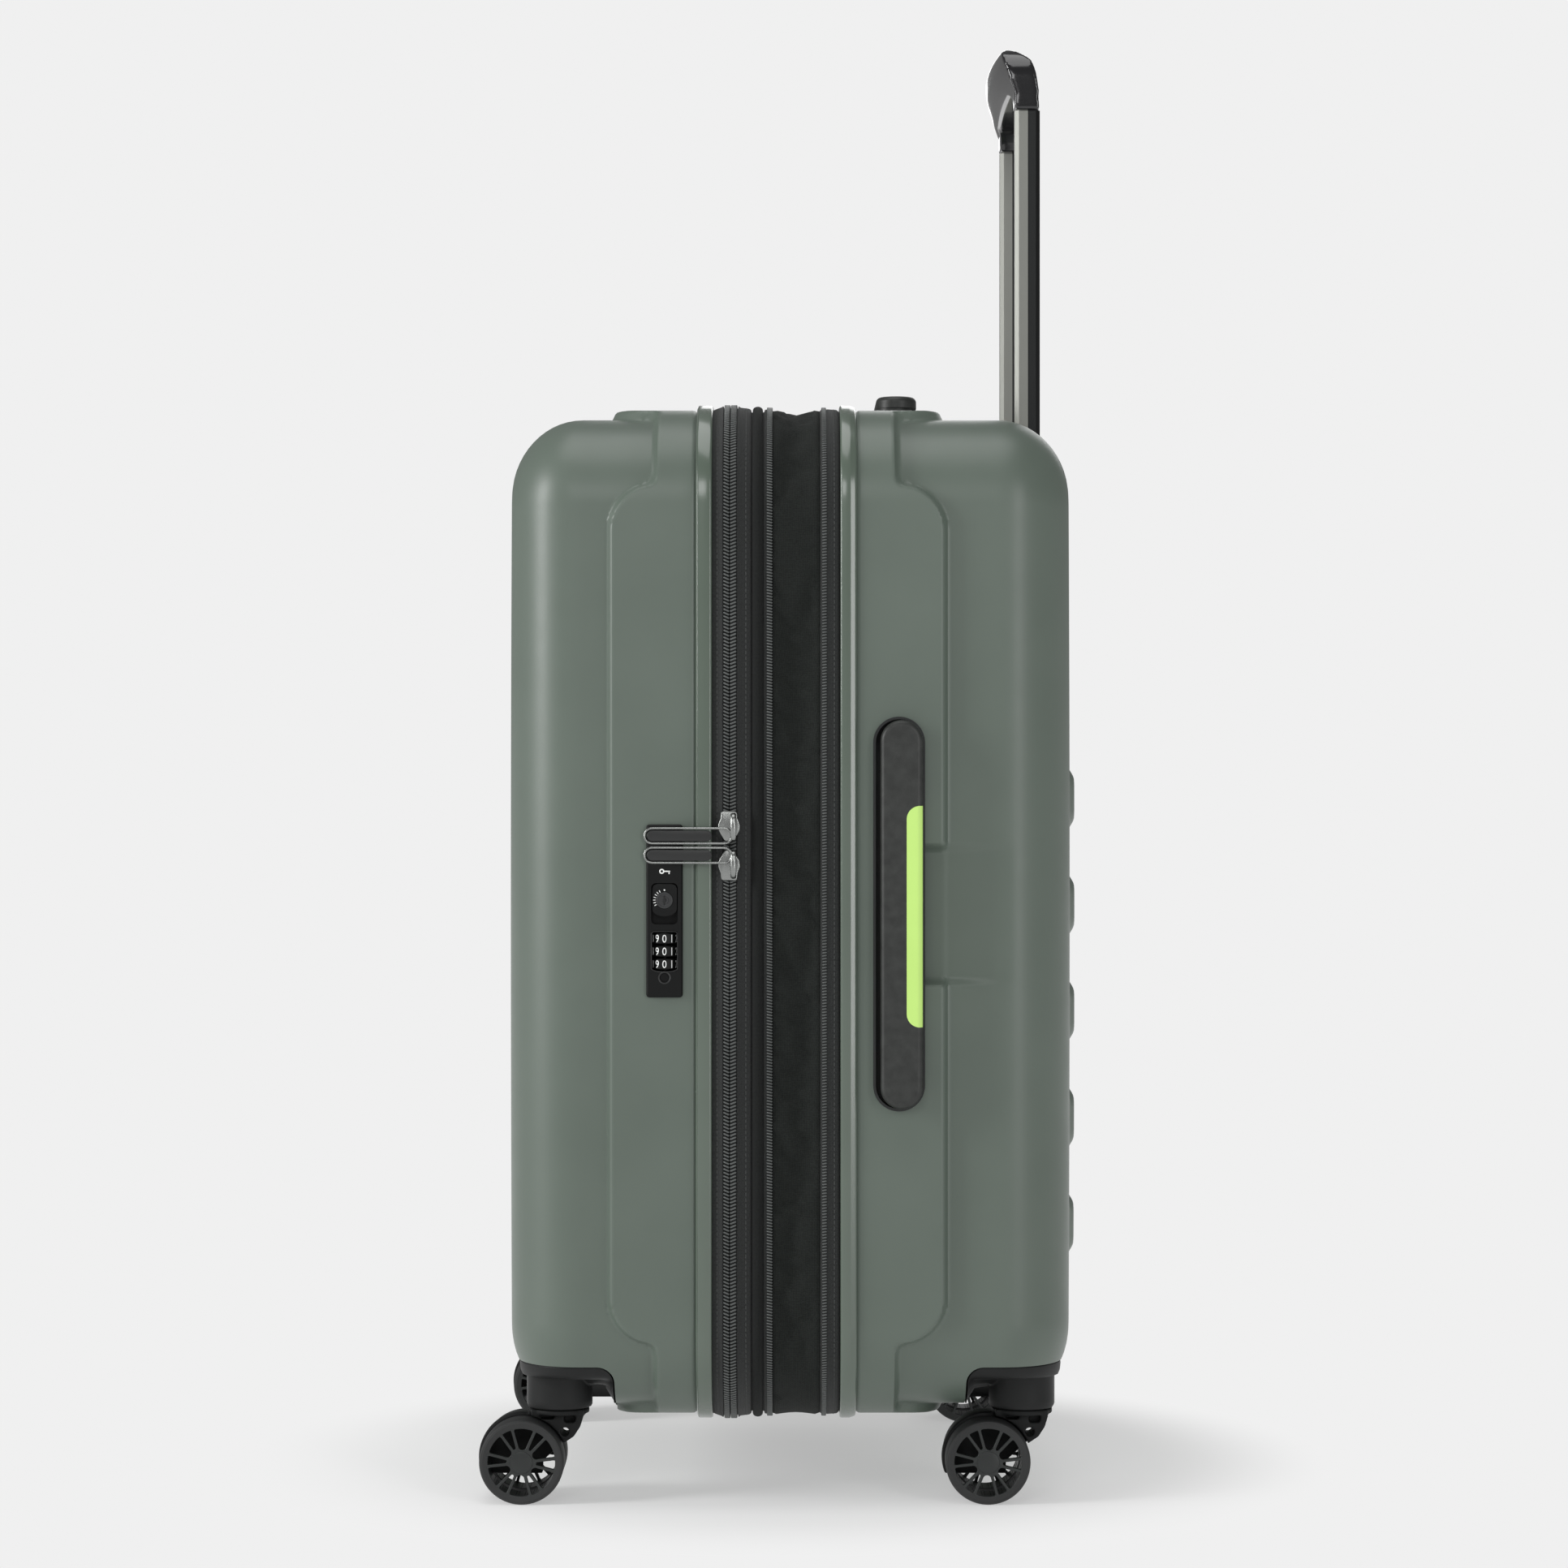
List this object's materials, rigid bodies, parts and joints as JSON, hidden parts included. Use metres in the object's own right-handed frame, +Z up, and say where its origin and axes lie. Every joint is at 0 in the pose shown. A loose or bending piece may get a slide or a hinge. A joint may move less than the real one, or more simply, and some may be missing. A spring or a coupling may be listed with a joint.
{
  "type": "hard shell suitcase",
  "caption": "Expandable hard shell suitcase with a zip between its halves, a trolley handle half out, side and top carry handles, a dial lock and twin-wheel casters.",
  "frame": {"origin": "on the floor, under the middle of the case's bounding box", "axes": "+Z up; +X from the front shell to the rear shell with the trolley handle; the lock, zip pullers and side handle are on the -Y side and the fabric hinge is on the +Y side"},
  "size_m": [0.369, 0.4615, 0.9078],
  "materials": {
    "shell_green": "moulded, fine grain, satin",
    "trim_green": "smooth, semi-gloss",
    "black_fabric": "woven polyester",
    "lining_fabric": "lining twill",
    "gloss_black": "glossy moulded",
    "tube_grey": "anodised, satin",
    "tube_black": "anodised black",
    "steel": "zinc plated",
    "handle_black": "soft-touch moulded",
    "lime": "soft-touch moulded",
    "lock_black": "moulded",
    "key_black": "black plated",
    "dial_black": "moulded, white figures",
    "gunmetal": "gunmetal plated zinc",
    "caster_black": "moulded",
    "hub_black": "moulded",
    "tyre_black": "polyurethane tread"
  },
  "bodies": {
    "rear_half": {"rear_shell": "shell_green", "rear_trim": "trim_green", "rear_lining": "lining_fabric", "rear_band": "black_fabric", "expansion_gusset": "black_fabric", "outer_tubes": "tube_black", "handle_cups": "handle_black", "rear_left_housing": "caster_black", "rear_right_housing": "caster_black"},
    "middle": {"middle_band": "black_fabric"},
    "front_half": {"front_shell": "shell_green", "front_trim": "trim_green", "front_lining": "lining_fabric", "front_zip_tape": "black_fabric", "lock_body": "lock_black", "front_left_housing": "caster_black", "front_right_housing": "caster_black"},
    "trolley": {"inner_tubes": "tube_grey", "trolley_grip": "gloss_black"},
    "trolley_button": {"grip_button": "gloss_black", "push_rods": "steel"},
    "trolley_pins": {"trolley_lock_pins": "steel"},
    "side_handle": {"side_handle_strap": "handle_black", "side_handle_inlay": "lime"},
    "top_handle": {"top_handle_strap": "handle_black", "top_handle_inlay": "lime"},
    "lock_slide": {"lock_slide": "lock_black"},
    "key_core": {"key_core": "key_black"},
    "dial_1": {"lock_dial_1": "dial_black"},
    "dial_2": {"lock_dial_2": "dial_black"},
    "dial_3": {"lock_dial_3": "dial_black"},
    "reset_button": {"lock_reset_button": "lock_black"},
    "slider_upper": {"zip_slider_upper": "gunmetal"},
    "slider_lower": {"zip_slider_lower": "gunmetal"},
    "puller_upper": {"zip_puller_upper": "gunmetal"},
    "puller_lower": {"zip_puller_lower": "gunmetal"},
    "front_left_swivel": {"front_left_fork": "caster_black", "front_left_pins": "steel"},
    "front_left_wheel_a": {"front_left_wheel_a_hub": "hub_black", "front_left_wheel_a_tyre": "tyre_black"},
    "front_left_wheel_b": {"front_left_wheel_b_hub": "hub_black", "front_left_wheel_b_tyre": "tyre_black"},
    "front_right_swivel": {"front_right_fork": "caster_black", "front_right_pins": "steel"},
    "front_right_wheel_a": {"front_right_wheel_a_hub": "hub_black", "front_right_wheel_a_tyre": "tyre_black"},
    "front_right_wheel_b": {"front_right_wheel_b_hub": "hub_black", "front_right_wheel_b_tyre": "tyre_black"},
    "rear_left_swivel": {"rear_left_fork": "caster_black", "rear_left_pins": "steel"},
    "rear_left_wheel_a": {"rear_left_wheel_a_hub": "hub_black", "rear_left_wheel_a_tyre": "tyre_black"},
    "rear_left_wheel_b": {"rear_left_wheel_b_hub": "hub_black", "rear_left_wheel_b_tyre": "tyre_black"},
    "rear_right_swivel": {"rear_right_fork": "caster_black", "rear_right_pins": "steel"},
    "rear_right_wheel_a": {"rear_right_wheel_a_hub": "hub_black", "rear_right_wheel_a_tyre": "tyre_black"},
    "rear_right_wheel_b": {"rear_right_wheel_b_hub": "hub_black", "rear_right_wheel_b_tyre": "tyre_black"}
  },
  "joints": [
    {"name": "expansion", "type": "slide", "parent": "rear_half", "child": "middle", "axis": [1, 0, 0], "range_m": [0, 0.029], "deforming": ["expansion_gusset"]},
    {"name": "shell_hinge", "type": "hinge", "parent": "middle", "child": "front_half", "pos_m": [-0.0302, 0.2285, 0.362], "axis": [0, 0, -1], "range_deg": [0, 180]},
    {"name": "trolley_slide", "type": "slide", "parent": "rear_half", "child": "trolley", "axis": [0, 0, 1], "range_m": [-0.205, 0.14]},
    {"name": "grip_press", "type": "slide", "parent": "trolley", "child": "trolley_button", "axis": [0, 0, -1], "range_m": [0, 0.004], "stiffness_N_per_m": 500, "springref_m": -0.006},
    {"name": "lock_pin_retract", "type": "slide", "parent": "trolley", "child": "trolley_pins", "axis": [-1, 0, 0], "range_m": [0, 0.003]},
    {"name": "side_handle_lift", "type": "slide", "parent": "rear_half", "child": "side_handle", "axis": [0, -1, 0], "range_m": [0, 0.015], "stiffness_N_per_m": 250, "springref_m": -0.004},
    {"name": "top_handle_lift", "type": "slide", "parent": "rear_half", "child": "top_handle", "axis": [0, 0, 1], "range_m": [0, 0.015], "stiffness_N_per_m": 250, "springref_m": -0.004},
    {"name": "lock_release", "type": "slide", "parent": "front_half", "child": "lock_slide", "axis": [0, 0, -1], "range_m": [0, 0.003], "stiffness_N_per_m": 150, "springref_m": -0.003},
    {"name": "key_turn", "type": "hinge", "parent": "lock_slide", "child": "key_core", "pos_m": [-0.0692, -0.2225, 0.3705], "axis": [0, 1, 0], "range_deg": [0, 90]},
    {"name": "reset_press", "type": "slide", "parent": "front_half", "child": "reset_button", "axis": [0, 1, 0], "range_m": [0, 0.002], "stiffness_N_per_m": 150, "springref_m": -0.002},
    {"name": "dial_1_turn", "type": "hinge", "parent": "front_half", "child": "dial_1", "pos_m": [-0.0692, -0.2186, 0.3475], "axis": [0, 0, 1], "continuous": true},
    {"name": "dial_2_turn", "type": "hinge", "parent": "front_half", "child": "dial_2", "pos_m": [-0.0692, -0.2186, 0.3398], "axis": [0, 0, 1], "continuous": true},
    {"name": "dial_3_turn", "type": "hinge", "parent": "front_half", "child": "dial_3", "pos_m": [-0.0692, -0.2186, 0.3321], "axis": [0, 0, 1], "continuous": true},
    {"name": "zip_upper", "type": "slide", "parent": "middle", "child": "slider_upper", "axis": [0, 0, 1], "range_m": [0, 0.18]},
    {"name": "puller_upper_flip", "type": "hinge", "parent": "slider_upper", "child": "puller_upper", "pos_m": [-0.0332, -0.2322, 0.4113], "axis": [0, 0, 1], "range_deg": [0, 150]},
    {"name": "zip_lower", "type": "slide", "parent": "middle", "child": "slider_lower", "axis": [0, 0, -1], "range_m": [0, 0.25]},
    {"name": "puller_lower_flip", "type": "hinge", "parent": "slider_lower", "child": "puller_lower", "pos_m": [-0.0332, -0.2322, 0.3955], "axis": [0, 0, 1], "range_deg": [0, 150]},
    {"name": "front_left_swivel", "type": "hinge", "parent": "front_half", "child": "front_left_swivel", "pos_m": [-0.1357, -0.164, 0.057], "axis": [0, 0, 1], "continuous": true},
    {"name": "front_left_wheel_a_roll", "type": "hinge", "parent": "front_left_swivel", "child": "front_left_wheel_a", "pos_m": [-0.1577, -0.164, 0.026], "axis": [0, 1, 0], "continuous": true},
    {"name": "front_left_wheel_b_roll", "type": "hinge", "parent": "front_left_swivel", "child": "front_left_wheel_b", "pos_m": [-0.1577, -0.164, 0.026], "axis": [0, 1, 0], "continuous": true},
    {"name": "front_right_swivel", "type": "hinge", "parent": "front_half", "child": "front_right_swivel", "pos_m": [-0.1357, 0.164, 0.057], "axis": [0, 0, 1], "continuous": true},
    {"name": "front_right_wheel_a_roll", "type": "hinge", "parent": "front_right_swivel", "child": "front_right_wheel_a", "pos_m": [-0.1577, 0.164, 0.026], "axis": [0, 1, 0], "continuous": true},
    {"name": "front_right_wheel_b_roll", "type": "hinge", "parent": "front_right_swivel", "child": "front_right_wheel_b", "pos_m": [-0.1577, 0.164, 0.026], "axis": [0, 1, 0], "continuous": true},
    {"name": "rear_left_swivel", "type": "hinge", "parent": "rear_half", "child": "rear_left_swivel", "pos_m": [0.1496, -0.164, 0.057], "axis": [0, 0, 1], "continuous": true},
    {"name": "rear_left_wheel_a_roll", "type": "hinge", "parent": "rear_left_swivel", "child": "rear_left_wheel_a", "pos_m": [0.1276, -0.164, 0.026], "axis": [0, 1, 0], "continuous": true},
    {"name": "rear_left_wheel_b_roll", "type": "hinge", "parent": "rear_left_swivel", "child": "rear_left_wheel_b", "pos_m": [0.1276, -0.164, 0.026], "axis": [0, 1, 0], "continuous": true},
    {"name": "rear_right_swivel", "type": "hinge", "parent": "rear_half", "child": "rear_right_swivel", "pos_m": [0.1496, 0.164, 0.057], "axis": [0, 0, 1], "continuous": true},
    {"name": "rear_right_wheel_a_roll", "type": "hinge", "parent": "rear_right_swivel", "child": "rear_right_wheel_a", "pos_m": [0.1276, 0.164, 0.026], "axis": [0, 1, 0], "continuous": true},
    {"name": "rear_right_wheel_b_roll", "type": "hinge", "parent": "rear_right_swivel", "child": "rear_right_wheel_b", "pos_m": [0.1276, 0.164, 0.026], "axis": [0, 1, 0], "continuous": true}
  ],
  "couplings": [
    {"joint": "lock_pin_retract", "follows": "grip_press", "ratio": 0.75}
  ]
}
